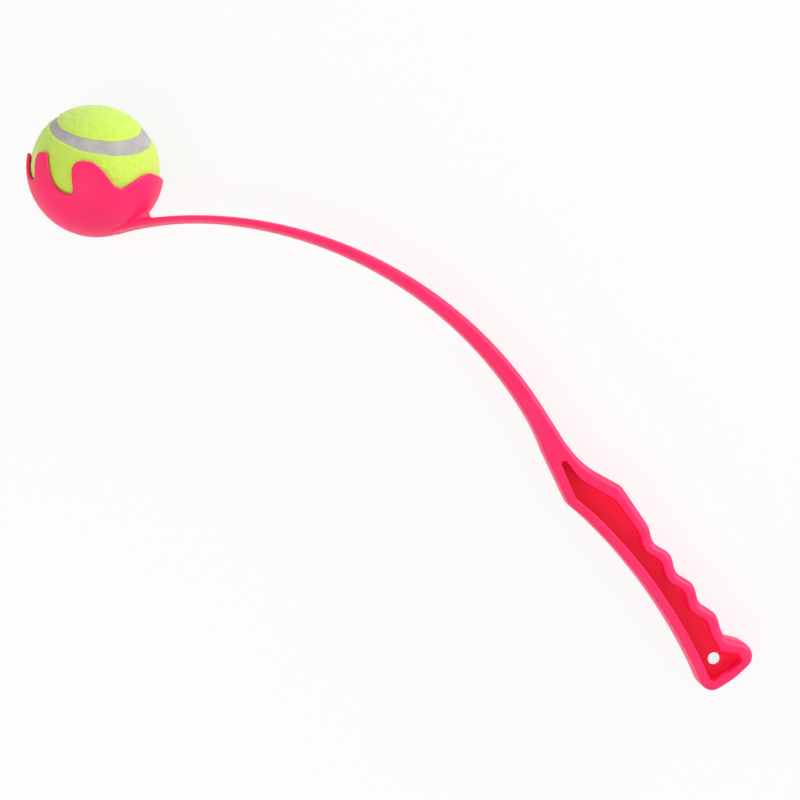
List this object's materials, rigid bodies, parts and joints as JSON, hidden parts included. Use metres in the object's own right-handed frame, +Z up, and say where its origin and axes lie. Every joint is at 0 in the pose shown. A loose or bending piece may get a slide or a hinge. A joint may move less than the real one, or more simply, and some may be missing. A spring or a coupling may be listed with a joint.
{
  "type": "dog ball launcher stick",
  "caption": "Hand-held dog ball launcher: ribbed plastic handle, long curved flexible shaft and a fingered cup that holds a felt-covered ball.",
  "frame": {"origin": "centre of the bounding box on the ground, the stick lying on its side with the ball in its cup", "axes": "+X along the handle from its butt towards the cup, +Y from the finger side towards the cup, +Z up"},
  "size_m": [0.4374, 0.1433, 0.0688],
  "materials": {
    "moulding": "satin, coloured in the mould",
    "felt": "napped felt",
    "seam": "matt",
    "core": "matt"
  },
  "bodies": {
    "handle": {"handle_rim": "moulding", "handle_web": "moulding", "shaft_root": "moulding"},
    "head": {"shaft_neck": "moulding", "cup_bowl": "moulding"},
    "ball": {"ball_core_front": "core", "ball_core_back": "core", "felt_panel_a": "felt", "felt_panel_b": "felt", "ball_seam": "seam"},
    "finger_far": {"finger_far": "moulding"},
    "finger_side_upper": {"finger_side_upper": "moulding"},
    "finger_side_lower": {"finger_side_lower": "moulding"},
    "finger_broad_upper": {"finger_broad_upper": "moulding"},
    "finger_broad_lower": {"finger_broad_lower": "moulding"}
  },
  "joints": [
    {"name": "shaft_flex", "type": "hinge", "parent": "handle", "child": "head", "pos_m": [0.12572, 0.00359, 0.02693], "axis": [0, -0.2101, 0.9777], "range_deg": [-3, 10], "stiffness_Nm_per_rad": 2},
    {"name": "ball_release", "type": "slide", "parent": "head", "child": "ball", "axis": [0.6652, -0.73, -0.1569], "range_m": [0, 0.034]},
    {"name": "finger_far_flex", "type": "hinge", "parent": "head", "child": "finger_far", "pos_m": [0.19992, 0.06821, 0.04081], "axis": [0, -0.2101, 0.9777], "range_deg": [0, 6], "stiffness_Nm_per_rad": 0.6},
    {"name": "finger_side_upper_flex", "type": "hinge", "parent": "head", "child": "finger_side_upper", "pos_m": [0.18837, 0.05391, 0.06435], "axis": [-0.7899, -0.5107, 0.3394], "range_deg": [0, 6], "stiffness_Nm_per_rad": 0.6},
    {"name": "finger_side_lower_flex", "type": "hinge", "parent": "head", "child": "finger_side_lower", "pos_m": [0.18837, 0.06484, 0.01348], "axis": [0.7899, 0.3262, 0.5193], "range_deg": [0, 6], "stiffness_Nm_per_rad": 0.6},
    {"name": "finger_broad_upper_flex", "type": "hinge", "parent": "head", "child": "finger_broad_upper", "pos_m": [0.17049, 0.0361, 0.06499], "axis": [-0.5314, -0.7939, -0.2956], "range_deg": [0, 6], "stiffness_Nm_per_rad": 0.6},
    {"name": "finger_broad_lower_flex", "type": "hinge", "parent": "head", "child": "finger_broad_lower", "pos_m": [0.17049, 0.04886, 0.00558], "axis": [0.5314, 0.8452, 0.0566], "range_deg": [0, 6], "stiffness_Nm_per_rad": 0.6}
  ],
  "couplings": [
    {"joint": "finger_side_upper_flex", "follows": "finger_far_flex", "ratio": 1},
    {"joint": "finger_side_lower_flex", "follows": "finger_far_flex", "ratio": 1},
    {"joint": "finger_broad_upper_flex", "follows": "finger_far_flex", "ratio": 1},
    {"joint": "finger_broad_lower_flex", "follows": "finger_far_flex", "ratio": 1}
  ]
}
